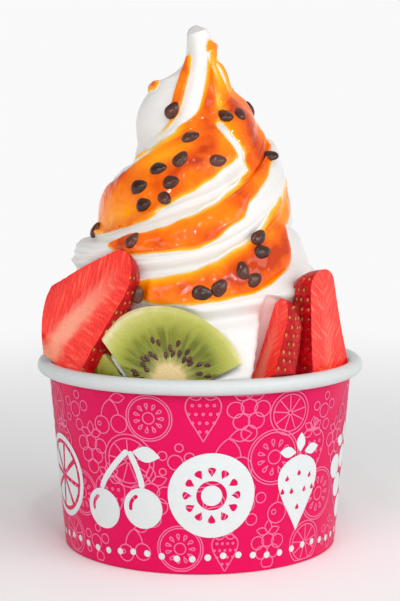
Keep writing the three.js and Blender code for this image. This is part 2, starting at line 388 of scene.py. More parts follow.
def smooth_step(value, low, high):
    share = np.clip((value - low) / (high - low), 0, 1)
    return share * share * (3 - 2 * share)


def frame_of(at, forward, up):
    """Axes (as columns) and place of a shape whose Z looks forward and whose Y is as near up as can be."""
    z = Vector(forward).normalized()
    x = Vector(up).cross(z).normalized()
    return np.array([x, z.cross(x), z]).T, np.array(at, float)


# ---------------------------------------------------------------- swirl

def along(turn, column):
    """A smooth curve through one column of the lips."""
    place = np.clip((turn - LIP_START) * 4, 0, len(LIPS) - 1.0001)
    start = place.astype(int)
    share = place - start
    row = lambda shift: LIPS[np.clip(start + shift, 0, len(LIPS) - 1), column]
    before, low, high, after = row(-1), row(0), row(1), row(2)
    square, cube = share ** 2, share ** 3
    return (low * (2 * cube - 3 * square + 1) + (high - before) / 2 * (cube - 2 * square + share)
            + high * (3 * square - 2 * cube) + (after - low) / 2 * (cube - square))


def lip_strength(turn):
    return smooth_step(turn, -0.4, 0.1) * (1 - smooth_step(turn, 2.3, 4.2))


def inside_radius(height):
    return WALL_FOOT_RADIUS - WALL_THICKNESS + (WALL_TOP_RADIUS - WALL_FOOT_RADIUS) * height / WALL_TOP


def berry_radius(size, share):
    """A berry's radius as a part of its widest, at a share of the way from stem to tip."""
    share = np.clip(share, 0, 1)
    shoulder = np.sqrt(1 - np.maximum(1 - share / SHOULDER, 0) ** 2)
    from_tip = np.maximum((share - 1) / size["blunt"] + 1, 0)
    point = np.sqrt(np.maximum(1 - from_tip ** 2, 0))
    return shoulder * point * (1 - size["taper"] * np.maximum(share - TAPER_FROM, 0))


def berry_frame(size):
    """Axes, place and length of a berry: Y runs from stem to tip and the cut looks along Z."""
    stem, tip = Vector(size["stem"]), Vector(size["tip"])
    direction = (tip - stem).normalized()
    looks = Vector(size["cut"])
    looks -= looks.dot(direction) * direction
    axes, at = frame_of(stem, looks, direction)
    return axes, at, (tip - stem).length


def kiwi_frame(size):
    return frame_of(size["core"], size["face"], (0, 0, 1))


def kiwi_reach(size, angle):
    return size["radius"] * (1 + KIWI_OVAL * np.cos(2 * (angle - KIWI_OVAL_WAY)))


def kiwi_inset(size, x, y):
    """How far inside the slice's outline a point lies, in millimetres."""
    inset = kiwi_reach(size, np.arctan2(y, x)) - np.hypot(x, y)
    for degrees, distance in size["cuts"]:
        way = math.radians(degrees)
        inset = np.minimum(inset, distance - x * math.cos(way) - y * math.sin(way))
    return inset


def behind_kiwi(co, size):
    """Moves points that lie in or before a kiwi slice to behind it."""
    axes, at = kiwi_frame(size)
    local = (co - at) @ axes
    back = -size["thick"] / 2
    weight = smooth_step(kiwi_inset(size, local[:, 0], local[:, 1]), -1.6, 0.2)
    near = (local[:, 2] < KIWI_CLEARS) & (local[:, 2] > back)
    local[:, 2] -= np.where(near, weight * (local[:, 2] - back), 0)
    return local @ axes.T + at


def behind_berry(co, size):
    """Clears points from before a berry's cut, then draws those in the berry towards the cup's axis."""
    axes, at, length = berry_frame(size)
    local = (co - at) @ axes
    x, y, z = local.T
    half = size["wide"] * berry_radius(size, y / length) + 1
    inside = smooth_step(half - np.abs(x), -1.5, 0.5)
    inside *= smooth_step(y, -3, -1) * smooth_step(length - y, -1.5, 1)
    local[:, 2] -= inside * smooth_step(size["bare"] - z, 0, 3) * np.maximum(z + 1, 0)
    co = local @ axes.T + at
    inside *= smooth_step(z, -size["deep"] - 1.5, -size["deep"] + 0.5) * smooth_step(5 - z, 0, 2)
    middle = at + np.clip(y / length, 0, 1)[:, None] * (np.array(size["tip"]) - at)
    room = np.hypot(middle[:, 0], middle[:, 1]) - size["pocket"]
    radius = np.hypot(co[:, 0], co[:, 1])
    scale = 1 - inside * np.maximum(radius - room, 0) / np.maximum(radius, 1e-6)
    return co * np.stack([scale, scale, np.ones(len(co))], 1)


def press_in(co):
    """Makes room in the yogurt or sauce for the fruit."""
    for size in KIWIS.values():
        co = behind_kiwi(co, size)
    for size in BERRIES.values():
        co = behind_berry(co, size)
    return co


def stay_in_cup(co):
    """Draws points that would pass through the cup's wall or rim in to the room it leaves, in millimetres."""
    radius = np.hypot(co[:, 0], co[:, 1])
    room = inside_radius(co[:, 2]) - FRUIT_GAP
    room += (OVER_RIM_RADIUS - room) * smooth_step(co[:, 2], *OVER_RIM_HEIGHTS)
    scale = np.minimum(room / np.maximum(radius, 1e-6), 1)
    return co * np.stack([scale, scale, np.ones(len(co))], 1)


def fold_weight(turn, height, radius, path, width):
    """1 along a path of (turn round the axis, height), falling off over width."""
    nearest = np.full(turn.shape, 1e9)
    around = turn - np.floor(turn)
    for (turn_a, height_a), (turn_b, height_b) in zip(path, path[1:]):
        along_x = (turn_b - turn_a) * TURN * radius
        along_y = height_b - height_a
        x = (around - turn_a) * TURN * radius
        y = height - height_a
        share = np.clip((x * along_x + y * along_y) / (along_x ** 2 + along_y ** 2 + 1e-9), 0, 1)
        nearest = np.minimum(nearest, np.hypot(x - share * along_x, y - share * along_y))
    return np.exp(-(nearest / width) ** 2)


def ribbon(turn, share, filled=0):
    """Points of the swirl's surface, in millimetres, and the strength of the folds there.

    Where filled is 1 the furrows are levelled, as they are under sauce.
    """
    low = np.stack([along(turn, 0), along(turn, 1)], -1)
    high = np.stack([along(turn + 1, 0), along(turn + 1, 1)], -1)
    chord = high - low
    length = np.linalg.norm(chord, axis=-1) + 1e-6
    outward = np.stack([chord[..., 1], -chord[..., 0]], -1) / length[..., None]
    low_lip = LIP_REACH * lip_strength(turn) * np.exp(-(share * length / LIP_WIDTH) ** 2)
    high_lip = LIP_REACH * lip_strength(turn + 1) * np.exp(-((1 - share) * length / LIP_WIDTH) ** 2)
    below = ((1 - share) * length - TUCK_BELOW) / TUCK_WIDTH
    tuck = TUCK_DEPTH * np.exp(-below ** 2) * lip_strength(turn + 1)
    swell = along(turn, 2) * np.sin(math.pi * share) - tuck * (1 - filled)
    wander = 0.22 * np.sin(9 * turn + 1) + 0.16 * np.sin(23 * turn) + 0.1 * np.sin(57 * turn + 2)
    streak = 0.10 * np.sin(share * 34 + 1.5 * np.sin(5 * turn))
    streak += 0.06 * np.sin(share * 71 + 2.1 * np.sin(8 * turn + 1))
    near_lip = np.exp(-(share * length / RIDGE_REACH) ** 2)
    near_lip += np.exp(-((1 - share) * length / RIDGE_REACH) ** 2)
    fine = (wander * near_lip + streak) * np.clip(low[..., 0] / 30, 0, 1) ** 2 * (1 - filled)
    place = low + chord * share[..., None] + outward * (low_lip + high_lip + swell + fine)[..., None]
    radius, height = place[..., 0], place[..., 1]
    folds = {name: fold_weight(turn, height, radius, path, width) for name, (path, _, width) in FOLDS.items()}
    for name, (_, reach, _) in FOLDS.items():
        radius = radius + reach * folds[name] * np.clip(radius / 6, 0, 1)
    room = inside_radius(height) - 0.3
    radius = np.where(height < CUP_HEIGHT - 1, np.minimum(radius, room), radius)
    rise = np.maximum(height - AXIS_SHIFT_FROM, 0) / (TIP_HEIGHT - AXIS_SHIFT_FROM)
    angle = TURN * turn
    co = np.stack([TIP_X * rise - radius * np.cos(angle), -radius * np.sin(angle), height], -1)
    return co, folds


def ribbon_grid(name, first, turns):
    """A grid whose length runs along the ribbon and whose width goes up from lip to lip."""
    steps = round(turns * STEPS_PER_TURN)
    clear_selection()
    bpy.ops.mesh.primitive_grid_add(x_subdivisions=steps, y_subdivisions=ROWS, size=2)
    sheet = bpy.context.object
    flat = points(sheet)
    turn = first + np.round((flat[:, 0] + 1) / 2 * steps) / STEPS_PER_TURN
    even = np.round((flat[:, 1] + 1) / 2 * ROWS) / ROWS
    share = even - 0.08 * np.sin(TURN * even)
    share = np.where(even >= 1, 0.0, share)
    turn = np.where(even >= 1, turn + 1, turn)
    return settle(sheet, name), turn, share


def outward_normals(turn, share):
    """Unit normals of the swirl's surface, from small steps along and across the ribbon."""
    step = 1e-3
    along_way = ribbon(turn + step, share)[0] - ribbon(turn - step, share)[0]
    up_way = ribbon(turn, share + step)[0] - ribbon(turn, share - step)[0]
    normal = np.cross(along_way, up_way)
    return normal / (np.linalg.norm(normal, axis=1, keepdims=True) + 1e-12)


def make_yogurt():
    sheet, turn, share = ribbon_grid("yogurt", LIP_START, SWIRL_TURNS)
    co = press_in(ribbon(turn, share)[0])
    set_points(sheet, co * MM)
    finish_faces(sheet, merge=1e-6)
    fill_open_edges(sheet)
    finish_faces(sheet)
    return sheet


# Sauce pools. Places on the swirl are given as the turn round the axis and the level, which is the number of
# the band plus the share of the way up it. Each row of a pool is a turn, the levels of its lower and upper
# edges there and how far below the upper edge the sauce thins out.
POOLS = [
    ((-0.2, 0.4, 0.5, 0.4), (-0.1, 0.25, 0.7, 0.4), (0.1, 0.2, 0.75, 0.4), (0.18, 0.17, 0.8, 0.42),
     (0.22, 0.09, 0.84, 0.42), (0.25, 0.06, 0.9, 0.42), (0.29, 0.08, 0.98, 0.42), (0.32, 0.12, 0.99, 0.3),
     (0.35, 0.2, 1.02, 0.15), (0.38, 0.26, 1.04, 0.1), (0.395, 0.33, 1.04, 0.1), (0.402, 0.66, 1.04, 0.1),
     (0.46, 0.7, 1.03, 0.1), (0.54, 0.85, 0.95, 0.1)),
    ((0.11, 1.4, 1.42, 0.1), (0.125, 1.25, 1.56, 0.15), (0.15, 1.16, 1.74, 0.2), (0.18, 1.12, 1.8, 0.3),
     (0.2, 1.12, 1.84, 0.35), (0.22, 1.1, 1.92, 0.38), (0.25, 1.07, 1.97, 0.4), (0.28, 1.18, 2.01, 0.4),
     (0.3, 1.25, 2.04, 0.35), (0.322, 1.26, 2.06, 0.25), (0.332, 1.44, 2.08, 0.2), (0.35, 1.46, 2.1, 0.1)),
    ((0.32, 1.9, 1.95, 0.1), (0.333, 1.46, 2.2, 0.1), (0.345, 1.46, 4.2, 0.3), (0.376, 1.48, 4.55, 0.3),
     (0.4, 1.52, 4.78, 0.3), (0.43, 1.58, 4.72, 0.3), (0.45, 1.66, 4.5, 0.2), (0.46, 1.8, 4.3, 0.2),
     (0.52, 2.05, 3.9, 0.2), (0.6, 2.15, 3.0, 0.2), (0.66, 2.4, 2.6, 0.2)),
    ((-0.2, 2.1, 2.3, 0.15), (-0.12, 1.95, 2.45, 0.15), (0.0, 1.8, 2.5, 0.12), (0.07, 1.87, 2.7, 0.12),
     (0.1, 1.9, 2.8, 0.12), (0.13, 1.92, 2.9, 0.12), (0.17, 1.97, 3.1, 0.12), (0.19, 2.02, 3.14, 0.12),
     (0.21, 2.08, 3.18, 0.12), (0.25, 2.15, 3.36, 0.12), (0.28, 2.18, 3.75, 0.12), (0.31, 2.22, 4.1, 0.12),
     (0.325, 2.22, 4.3, 0.12), (0.345, 2.26, 4.5, 0.12)),
    ((0.145, 3.8, 4.1, 0.1), (0.155, 3.1, 4.4, 0.1), (0.165, 3.1, 4.62, 0.1), (0.185, 3.2, 4.66, 0.1),
     (0.2, 3.9, 4.5, 0.1), (0.212, 4.1, 4.35, 0.1)),
    ((0.06, 2.8, 2.95, 0.2), (0.1, 2.8, 3.15, 0.25), (0.14, 2.85, 3.3, 0.25), (0.18, 2.95, 3.36, 0.25),
     (0.215, 3.1, 3.3, 0.2)),
    ((0.25, 4.6, 4.62, 0.2), (0.3, 4.4, 4.72, 0.2), (0.4, 4.4, 4.8, 0.2), (0.5, 4.3, 4.6, 0.2)),
    ((-0.03, 3.9, 4.0, 0.1), (0.02, 3.8, 4.04, 0.1), (0.07, 3.84, 4.0, 0.1)),
    ((0.5, 1.5, 1.6, 0.4), (0.56, 1.3, 1.8, 0.4), (0.66, 1.35, 1.9, 0.4), (0.72, 1.5, 1.8, 0.4)),
    ((0.5, 0.5, 0.55, 0.4), (0.58, 0.3, 0.8, 0.4), (0.68, 0.35, 0.85, 0.4), (0.74, 0.5, 0.7, 0.4)),
]

# Thinner (below 0) and deeper places: turn, level, how far round in turns, how far up in levels, by how much.
SHALLOWS = [
    (0.38, 3.9, 0.03, 0.5, -0.8), (0.345, 3.15, 0.022, 0.25, -0.65), (0.45, 3.7, 0.03, 0.45, -1.3),
    (0.11, 3.0, 0.05, 0.2, -1.0), (0.17, 3.08, 0.03, 0.14, -1.0), (0.32, 2.6, 0.03, 0.22, -0.3),
    (0.06, 2.12, 0.05, 0.16, -0.35), (0.13, 2.15, 0.04, 0.1, -0.25), (0.17, 2.66, 0.05, 0.1, -0.4),
    (0.42, 0.88, 0.03, 0.14, -0.35), (0.325, 1.3, 0.012, 0.1, -0.5), (0.3, 1.95, 0.03, 0.1, -0.25),
    (0.25, 2.5, 0.04, 0.16, 0.3), (0.4, 2.2, 0.04, 0.4, 0.4), (0.375, 0.55, 0.025, 0.15, 0.35),
    (0.29, 0.4, 0.04, 0.12, 0.3), (0.06, 2.58, 0.04, 0.12, 0.45), (0.4, 2.8, 0.03, 0.25, 0.35),
    (0.15, 1.4, 0.03, 0.2, 0.2), (0.28, 3.2, 0.02, 0.5, 0.1),
]

# Passion fruit seeds in the sauce: turn and level, and how far each leans, in degrees.
SEEDS = [
    (0.16, 3.38, 65), (0.23, 2.78, 10), (0.345, 2.82, 100), (0.395, 2.66, 60), (0.213, 2.53, 62),
    (0.286, 2.35, 5), (0.42, 1.66, 110), (0.2, 2.3, 12), (0.14, 2.38, 20), (0.172, 2.5, 0),
    (0.192, 2.15, -45), (0.155, 2.17, 15), (0.035, 2.04, 80), (0.158, 1.42, 70), (0.335, 0.83, 40),
    (0.335, 0.63, 10), (0.302, 0.48, 90), (0.316, 0.31, 30), (0.252, 0.28, -5), (0.272, 0.31, 50),
    (0.178, 0.36, 75), (-0.08, 2.2, 40), (0.53, 2.4, 70), (0.6, 1.6, 20), (0.66, 1.5, 60),
    (0.57, 2.5, 0), (0.64, 0.6, 30), (-0.14, 0.5, 0),
]


def band_place(turn, share):
    """The turn round the axis, from -1/4 to 3/4, and the level there."""
    band = np.floor(turn + 0.25)
    return turn - band, band + share


def sauce_depth(turn, share, folds):
    """Depth of the sauce, near 1 in the pools; below nothing where the yogurt is bare."""
    place, level = band_place(turn, share)
    wave = 0.009 * np.sin(70 * place) + 0.007 * np.sin(173 * place + 1)
    depth = np.full(turn.shape, -1.0)
    for pool in POOLS:
        around, low, high, soft = (np.array(column) for column in zip(*pool))
        low = np.interp(place, around, low) + wave
        high = np.interp(place, around, high) + 1.6 * wave
        soft = np.interp(place, around, soft)
        ends = np.minimum(smooth_step(place, around[0], around[0] + 0.012),
                          smooth_step(around[-1] - place, 0, 0.012))
        lower = smooth_step(level, low - 0.03, low + 0.07)
        upper = smooth_step((high - level) / soft, 0, 1)
        depth = np.maximum(depth, 1.35 * np.minimum(ends, lower) * upper - 0.3)
    shift = np.zeros(turn.shape)
    for at_turn, at_level, wide, tall, amount in SHALLOWS:
        shift += amount * np.exp(-((place - at_turn) / wide) ** 2 - ((level - at_level) / tall) ** 2)
    depth = np.where(depth > 0, depth * (1 + np.clip(shift, -1.3, 1)), depth)
    cone = folds["cone"] * smooth_step(level, 2.95, 3.3)
    bare = smooth_step(np.maximum(cone, folds["curl"]), 0.25, 0.75)
    return depth - 1.6 * bare


def seed_place(place, level):
    """Turn and share of a place given as turn round the axis and level."""
    band = math.floor(level)
    return np.array([band + place]), np.array([level - band])


def make_sauce():
    """A sheet laid over the swirl, raised where the sauce is deep and cut away where there is none."""
    sheet, turn, share = ribbon_grid("sauce", -0.2, 5.0)
    folds = ribbon(turn, share)[1]
    depth = sauce_depth(turn, share, folds)
    cover = smooth_step(depth, -0.2, 0.3)
    co = ribbon(turn, share, cover)[0]
    mound = np.zeros(turn.shape)
    for place, level, _ in SEEDS:
        centre = ribbon(*seed_place(place, level), 1)[0][0]
        gap = np.linalg.norm(co - centre, axis=1)
        mound += 0.35 * np.exp(-(gap / 2.8) ** 2)
    lift = np.where(depth > 0, SAUCE_DEPTH * np.minimum(depth, 1.2), depth) + mound * cover
    co = press_in(co + outward_normals(turn, share) * np.clip(lift, -0.8, 3)[:, None])
    set_points(sheet, co * MM)
    layer = sheet.data.attributes.new("depth", "FLOAT", "POINT")
    layer.data.foreach_set("value", depth)
    corners = np.empty(len(sheet.data.loops), np.int32)
    sheet.data.loops.foreach_get("vertex_index", corners)
    delete_faces(sheet, depth[corners.reshape(-1, 4)].max(axis=1) < SAUCE_EDGE)
    finish_faces(sheet, merge=1e-6)
    apply_modifier(sheet, "SMOOTH", factor=0.5, iterations=5)
    apply_modifier(sheet, "SOLIDIFY", thickness=SAUCE_SHEET * MM, offset=-1)
    finish_faces(sheet)
    return sheet


def make_passion_seeds():
    """Flat dark seeds, each lying on the swirl with its back in the sauce."""
    clear_selection()
    bpy.ops.mesh.primitive_uv_sphere_add(segments=28, ring_count=18, radius=1)
    seed = bpy.context.object
    shape = points(seed).copy()
    shape[:, 0] *= 1 - 0.22 * shape[:, 1]
    shape += 0.03 * np.sin(5 * shape[:, [1, 2, 0]])
    copies = []
    for place, level, lean in SEEDS:
        turn, share = seed_place(place, level)
        out = Vector(outward_normals(turn, share)[0])
        around = Vector((math.sin(TURN * place), -math.cos(TURN * place), 0))
        axes, _ = frame_of((0, 0, 0), out, out.cross(around))
        spin = np.array(Matrix.Rotation(math.radians(lean - 90), 3, "Z"))
        size = np.array((random.uniform(1.8, 2.1), random.uniform(2.4, 2.85), 1.2))
        at = ribbon(turn, share, 1)[0][0] + np.array(out) * 1.35
        copies.append(copy_at(seed, (shape * size) @ spin.T @ axes.T + at))
    return join_copies(seed, copies, "passion_seeds")


# ---------------------------------------------------------------- fruit

def make_berry(name, size):
    """Half a strawberry with pits for its seeds; also the places of the seeds and the berry's frame."""
    axes, at, length = berry_frame(size)
    clear_selection()
    bpy.ops.mesh.primitive_uv_sphere_add(segments=160, ring_count=110, radius=1)
    berry = bpy.context.object
    ball = points(berry)
    share = np.arccos(np.clip(-ball[:, 2], -1, 1)) / math.pi
    angle = np.arctan2(ball[:, 1], ball[:, 0])
    seeds = seed_places(size, length)
    radius = berry_radius(size, share)
    ring = np.stack([size["wide"] * np.cos(angle), 0 * angle, size["deep"] * np.sin(angle)], 1)
    out = ring * radius[:, None]
    co = out + np.outer(share * length, (0, 1, 0))
    out /= np.linalg.norm(out, axis=1, keepdims=True) + 1e-9
    pit = np.zeros(len(co))
    for place, _ in seeds:
        gap = np.linalg.norm(co - place, axis=1)
        pit = np.maximum(pit, np.exp(-(gap / 0.7) ** 2))
    lumps = 0.35 * np.sin(3 * angle + 1.3 * share * 6) * radius
    co += out * (0.25 + lumps - 0.6 * pit)[:, None]
    set_points(berry, co)
    settle(berry, name)
    finish_faces(berry)
    slice_off(berry, (0, 0, 0), (0, 0, 1))
    local = points(berry)
    keep_local(berry, local)
    finish_faces(berry, angle=38)
    set_points(berry, stay_in_cup(local @ axes.T + at) * MM)
    return berry, seeds, axes, at


def seed_places(size, length):
    """Staggered places of the seeds on a berry's skin, with their outward directions."""
    wide, deep = size["wide"], size["deep"]
    places = []
    for row in range(1, BERRY_SEED_ROWS):
        share = (row + 0.35) / BERRY_SEED_ROWS
        radius = float(berry_radius(size, np.array(share)))
        count = max(5, round(radius * wide * TURN / BERRY_SEED_GAP))
        for step in range(count):
            angle = TURN * (step + 0.5 * (row % 2) + random.uniform(-0.12, 0.12)) / count
            if math.sin(angle) > -0.05:
                continue
            out = Vector((math.cos(angle) / wide, 0.02, math.sin(angle) / deep)).normalized()
            place = (wide * radius * math.cos(angle), share * length, deep * radius * math.sin(angle))
            places.append((np.array(place), out))
    return places


def make_achenes(name, seeds, axes, at):
    """The small seeds of one berry, modelled once and copied into their pits."""
    clear_selection()
    bpy.ops.mesh.primitive_uv_sphere_add(segments=8, ring_count=6, radius=1)
    seed = bpy.context.object
    shape = points(seed) * (0.32, 0.56, 0.26)
    shape[:, 0] *= 1 - 0.35 * shape[:, 1]
    copies = []
    for place, out in seeds:
        turn, _ = frame_of(place, out, (0, 1, 0))
        local = shape @ turn.T + place - np.array(out) * 0.25
        copies.append(copy_at(seed, stay_in_cup(local @ axes.T + at)))
    return join_copies(seed, copies, name)


def make_kiwi(name, size):
    """A kiwi slice with a sunken ring, fine rays and its straight cuts; also its frame."""
    axes, at = kiwi_frame(size)
    clear_selection()
    bpy.ops.mesh.primitive_grid_add(x_subdivisions=180, y_subdivisions=44, size=2)
    slab = bpy.context.object
    flat = points(slab)
    angle = (flat[:, 0] + 1) / 2 * TURN
    share = (flat[:, 1] + 1) / 2
    reach = kiwi_reach(size, angle) * share
    ridge = 0.10 * np.sin(angle * 44 + 2 * np.sin(3 * angle))
    ridge *= smooth_step(share, 0.3, 0.45) * (1 - smooth_step(share, 0.6, 0.8))
    rim = 0.9 * smooth_step(share, 0.93, 1.0) ** 2
    sag = 0.35 * smooth_step(share, 0.24, 0.36) * (1 - smooth_step(share, 0.5, 0.7))
    co = np.stack([reach * np.cos(angle), reach * np.sin(angle), ridge - rim - sag], 1)
    set_points(slab, co)
    settle(slab, name)
    finish_faces(slab, merge=1e-4)
    if slab.data.polygons[0].normal.z < 0:
        edit(slab)
        bpy.ops.mesh.flip_normals()
        bpy.ops.object.mode_set(mode="OBJECT")
    apply_modifier(slab, "SOLIDIFY", thickness=size["thick"], offset=-1)
    for degrees, distance in size["cuts"]:
        way = Vector((math.cos(math.radians(degrees)), math.sin(math.radians(degrees)), 0))
        slice_off(slab, way * distance, way)
    local = points(slab)
    keep_local(slab, local)
    finish_faces(slab, angle=40)
    set_points(slab, stay_in_cup(local @ axes.T + at) * MM)
    return slab, axes, at


def make_kiwi_seeds(size, axes, at):
    clear_selection()
    bpy.ops.mesh.primitive_uv_sphere_add(segments=12, ring_count=8, radius=1)
    seed = bpy.context.object
    shape = points(seed) * (0.55, 1.05, 0.35)
    shape[:, 0] *= 1 - 0.3 * shape[:, 1]
    copies = []
    for step in range(KIWI_SEEDS):
        angle = TURN * (step + random.uniform(-0.3, 0.3)) / KIWI_SEEDS
        reach = random.choice(KIWI_SEED_RINGS) + random.uniform(-0.9, 1.2)
        place = np.array((reach * math.cos(angle), reach * math.sin(angle), -0.25))
        if kiwi_inset(size, place[0], place[1]) < 0.8:
            continue
        turn = np.array(Matrix.Rotation(angle + math.radians(90) + random.uniform(-0.25, 0.25), 3, "Z"))
        copies.append(copy_at(seed, (shape @ turn.T + place) @ axes.T + at))
    return join_copies(seed, copies, "kiwi_seeds")


# ---------------------------------------------------------------- cup

def lap(angle):
    """How far the sheet's outer edge stands out at the seam; the angle runs from the back towards +X."""
    return SEAM_STEP * smooth_step(angle, 0.0, 0.012) * (1 - smooth_step(angle, 0.16, 0.45))


def make_wall():
    """The side wall, lapped at the back, its top edge hidden in the rim's roll."""
    clear_selection()
    bpy.ops.mesh.primitive_cone_add(vertices=256, radius1=WALL_FOOT_RADIUS, radius2=WALL_TOP_RADIUS,
                                    depth=SLEEVE_TOP, end_fill_type="NOTHING",
                                    location=(0, 0, SLEEVE_TOP / 2))
    wall = settle(bpy.context.object, "cup_sleeve")
    edit(wall)
    bpy.ops.mesh.subdivide(number_cuts=5)
    bpy.ops.object.mode_set(mode="OBJECT")
    co = points(wall)
    scale = 1 + lap(np.arctan2(co[:, 0], co[:, 1])) / np.hypot(co[:, 0], co[:, 1])
    set_points(wall, co * np.stack([scale, scale, np.ones(len(co))], 1) * MM)
    finish_faces(wall)
    apply_modifier(wall, "SOLIDIFY", thickness=WALL_THICKNESS * MM, offset=-1)
    return finish_faces(wall, angle=40)


def make_rim():
    clear_selection()
    bpy.ops.mesh.primitive_torus_add(major_radius=RIM_RADIUS - ROLL_SECTION, minor_radius=ROLL_SECTION,
                                     major_segments=224, minor_segments=28,
                                     location=(0, 0, CUP_HEIGHT - ROLL_SECTION))
    rim = settle(bpy.context.object, "cup_rim")
    set_points(rim, points(rim) * MM)
    return finish_faces(rim)


def make_base():
    clear_selection()
    bpy.ops.mesh.primitive_circle_add(vertices=160, radius=WALL_FOOT_RADIUS - WALL_THICKNESS + 0.2,
                                      fill_type="NGON", location=(0, 0, BASE_RECESS))
    base = settle(bpy.context.object, "cup_floor")
    edit(base)
    bpy.ops.mesh.inset(thickness=1.2)
    bpy.ops.transform.translate(value=(0, 0, 0.5))
    bpy.ops.object.mode_set(mode="OBJECT")
    set_points(base, points(base) * MM)
    apply_modifier(base, "SOLIDIFY", thickness=BASE_THICKNESS * MM, offset=1)
    return finish_faces(base, angle=35)


# ---------------------------------------------------------------- print, drawn flat in millimetres

# The print is drawn along a strip as long as the wall's middle is round. Its rows of line drawings are height
# and size.
PRINT_RADIUS = 42.0
PRINT_SPAN = TURN * PRINT_RADIUS
LINE_ROWS = ((44.0, 6.9), (31.5, 7.4), (19.0, 7.4), (6.5, 6.6))
LINES_PER_ROW = 20
LINE_HALF_WIDTH = 0.2
BOLD_HEIGHT = 22.5
DOTS = 60
DOT_HEIGHT = 4.8
DOT_RADIUS = 0.95
BEND_STEP = 2.0


def circle(x, y, radius, sides=36):
    angle = np.arange(sides) * TURN / sides
    return np.stack([x + radius * np.cos(angle), y + radius * np.sin(angle)], 1), True


def ring_of(x, y, radius, count, start=0.0):
    """Places evenly round a circle, each with its way from the middle, in radians."""
    return [(x + radius * math.cos(way), y + radius * math.sin(way), way)
            for way in TURN * (np.arange(count) + start) / count]


def strand(*places):
    return np.array(places, float), False


def arc(x, y, radius, start, end, sides=14):
    angle = np.radians(np.linspace(start, end, sides))
    return np.stack([x + radius * np.cos(angle), y + radius * np.sin(angle)], 1), False


def leaning(x, y, lean, forward, across):
    """An outline given forward and across, turned to lean, in degrees."""
    way = math.radians(lean)
    return np.stack([x + forward * math.cos(way) - across * math.sin(way),
                     y + forward * math.sin(way) + across * math.cos(way)], 1), True


def drop(x, y, size, lean, slim=0.5):
    """A teardrop with its point towards lean."""
    angle = np.arange(20) * TURN / 20
    across = size * slim * np.sin(angle) * (1 - np.cos(angle)) * 0.7
    return leaning(x, y, lean, size * np.cos(angle), across)


def leaf(x, y, size, lean):
    """A pointed leaf growing from a place towards lean."""
    share = np.linspace(0, 1, 9)
    across = 0.28 * size * np.sin(math.pi * share)
    forward = np.concatenate([share, share[-2:0:-1]]) * size
    return leaning(x, y, lean, forward, np.concatenate([across, -across[-2:0:-1]]))


def citrus_lines(x, y, size):
    lines = [circle(x, y, size), circle(x, y, 0.84 * size), circle(x, y, 0.1 * size, 10)]
    inner, outer = ring_of(x, y, 0.12 * size, 9, 0.3), ring_of(x, y, 0.8 * size, 9, 0.3)
    return lines + [strand(first[:2], last[:2]) for first, last in zip(inner, outer)]


def cluster_lines(x, y, size):
    grapes = ((-0.5, 0.35), (0, 0.45), (0.5, 0.35), (-0.28, -0.1), (0.28, -0.08), (0.02, -0.55))
    lines = [circle(x + dx * size, y + dy * size, 0.3 * size, 20) for dx, dy in grapes]
    return lines + [leaf(x, y + 0.75 * size, 0.6 * size, way) for way in (20, 90, 160)]


def berry_outline(x, y, size):
    share = np.linspace(0, 1, 30)
    radius = np.array([0.72 * size * math.sin(math.pi * s ** 0.62) * (1 - 0.25 * s) for s in share])
    height = y + size * (1 - 2 * share)
    right, left = np.stack([x + radius, height], 1), np.stack([x - radius, height], 1)
    return np.concatenate([right, left[-2:0:-1]]), True


def strawberry_lines(x, y, size):
    lines = [berry_outline(x, y, size)]
    lines += [leaf(x, y + 0.9 * size, 0.5 * size, way) for way in (-20, 35, 90, 145, 200)]
    for row, count in ((0.45, 4), (0.1, 5), (-0.25, 4), (-0.6, 2)):
        lines += [circle(x + (step - (count - 1) / 2) * 0.27 * size, y + row * size, 0.045 * size, 8)
                  for step in range(count)]
    return lines


def cherry_lines(x, y, size):
    return [circle(x - 0.45 * size, y - 0.45 * size, 0.42 * size),
            circle(x + 0.5 * size, y - 0.3 * size, 0.42 * size),
            arc(x + 0.55 * size, y - 0.05 * size, size, 118, 180),
            arc(x - 0.3 * size, y + 0.1 * size, 0.8 * size, 0, 62),
            leaf(x + 0.08 * size, y + 0.85 * size, 0.8 * size, 10),
            circle(x - 0.6 * size, y - 0.4 * size, 0.1 * size, 10)]


def slice_lines(x, y, size):
    lines = [circle(x, y, size), circle(x, y, 0.9 * size), circle(x, y, 0.25 * size, 20)]
    return lines + [drop(seed_x, seed_y, 0.13 * size, math.degrees(way) + 180)
                    for seed_x, seed_y, way in ring_of(x, y, 0.52 * size, 11)]


def bubble_lines(x, y, size):
    bubbles = ((0, 0, 0.3), (0.55, 0.2, 0.2), (-0.5, 0.25, 0.18), (0.15, 0.6, 0.16), (0.2, -0.6, 0.22),
               (-0.5, -0.4, 0.14))
    return [circle(x + dx * size, y + dy * size, radius * size, 16) for dx, dy, radius in bubbles]


def wrap_round(piece, lift, thin=1.0):
    """Bends a flat drawing round the cup, lifted off the wall and with its thickness times thin."""
    co = points(piece)
    height = co[:, 1]
    radius = WALL_FOOT_RADIUS + (WALL_TOP_RADIUS - WALL_FOOT_RADIUS) * height / WALL_TOP
    angle = co[:, 0] / PRINT_RADIUS
    reach = radius + lift + co[:, 2] * thin + lap(np.arctan2(np.sin(angle), -np.cos(angle)))
    set_points(piece, np.stack([reach * np.sin(angle), -reach * np.cos(angle), height], 1) * MM)
    return piece


def drawn(name, shapes, **settings):
    """Shapes as splines of one curve, made a mesh."""
    curve = bpy.data.curves.new(name, "CURVE")
    for key, value in settings.items():
        setattr(curve, key, value)
    for places, closed in shapes:
        spline = curve.splines.new("POLY")
        spline.points.add(len(places) - 1)
        spline.points.foreach_set("co", np.pad(places, ((0, 0), (0, 2))).ravel())
        spline.use_cyclic_u = closed
    piece = bpy.data.objects.new(name, curve)
    bpy.context.collection.objects.link(piece)
    take(piece)
    bpy.ops.object.convert(target="MESH")
    return bpy.context.object


